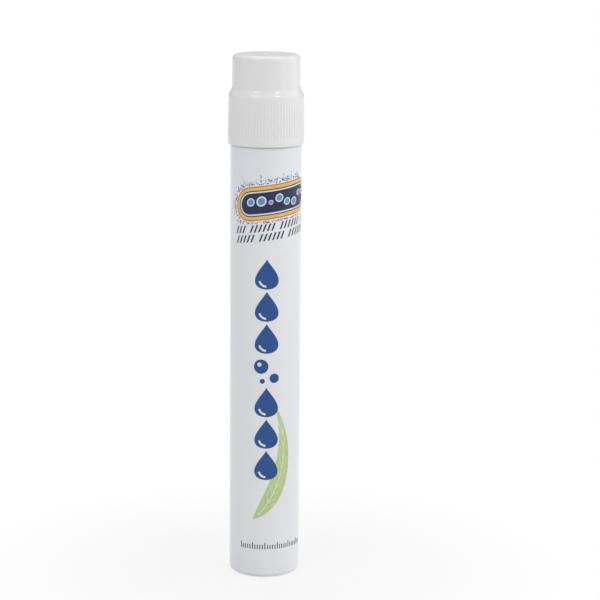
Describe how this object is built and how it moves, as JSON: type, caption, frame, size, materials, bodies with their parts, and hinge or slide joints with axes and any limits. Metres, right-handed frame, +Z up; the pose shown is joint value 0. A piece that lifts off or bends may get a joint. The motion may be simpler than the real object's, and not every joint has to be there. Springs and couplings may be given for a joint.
{
  "type": "stain remover pen",
  "caption": "Slim round pocket bottle with a spring valve applicator nib under a ribbed screw cap, for dabbing liquid on stains.",
  "frame": {"origin": "middle of the foot, on the plane the pen stands on", "axes": "+Z up the pen's axis to the cap, -Y towards the side with the print"},
  "size_m": [0.0182, 0.0182, 0.127],
  "materials": {
    "bottle": "smooth white polypropylene with printed art",
    "housing": "moulded polyethylene",
    "spring_cage": "moulded polypropylene",
    "valve_spring": "stainless spring wire",
    "valve_stem": "moulded acetal",
    "valve_seal": "soft rubber washer",
    "nib_holder": "moulded polypropylene",
    "nib": "dense pressed felt",
    "seal_cup": "natural soft polyethylene",
    "cap_liner": "white foamed liner",
    "cap_shell": "smooth white polypropylene"
  },
  "bodies": {
    "bottle": {"bottle": "bottle", "housing": "housing", "spring_cage": "spring_cage", "valve_spring": "valve_spring"},
    "applicator": {"valve_stem": "valve_stem", "valve_seal": "valve_seal", "nib_holder": "nib_holder", "nib": "nib"},
    "cap_seal": {"seal_cup": "seal_cup"},
    "cap_ring": {"cap_liner": "cap_liner"},
    "cap": {"cap_shell": "cap_shell"}
  },
  "joints": [
    {"name": "nib_press", "type": "slide", "parent": "bottle", "child": "applicator", "axis": [0, 0, -1], "range_m": [0, 0.0015], "stiffness_N_per_m": 400, "springref_m": -0.004, "deforming": ["valve_spring"]},
    {"name": "cap_pull", "type": "slide", "parent": "bottle", "child": "cap_seal", "axis": [0, 0, 1], "range_m": [0, 0.024]},
    {"name": "cap_rise", "type": "slide", "parent": "cap_seal", "child": "cap_ring", "axis": [0, 0, 1], "range_m": [0, 0.00476]},
    {"name": "cap_turn", "type": "hinge", "parent": "cap_ring", "child": "cap", "pos_m": [0, 0, 0.1057], "axis": [0, 0, 1], "range_deg": [0, 540]}
  ],
  "couplings": [
    {"joint": "cap_turn", "follows": "cap_rise", "rad_per_m": 1979}
  ]
}
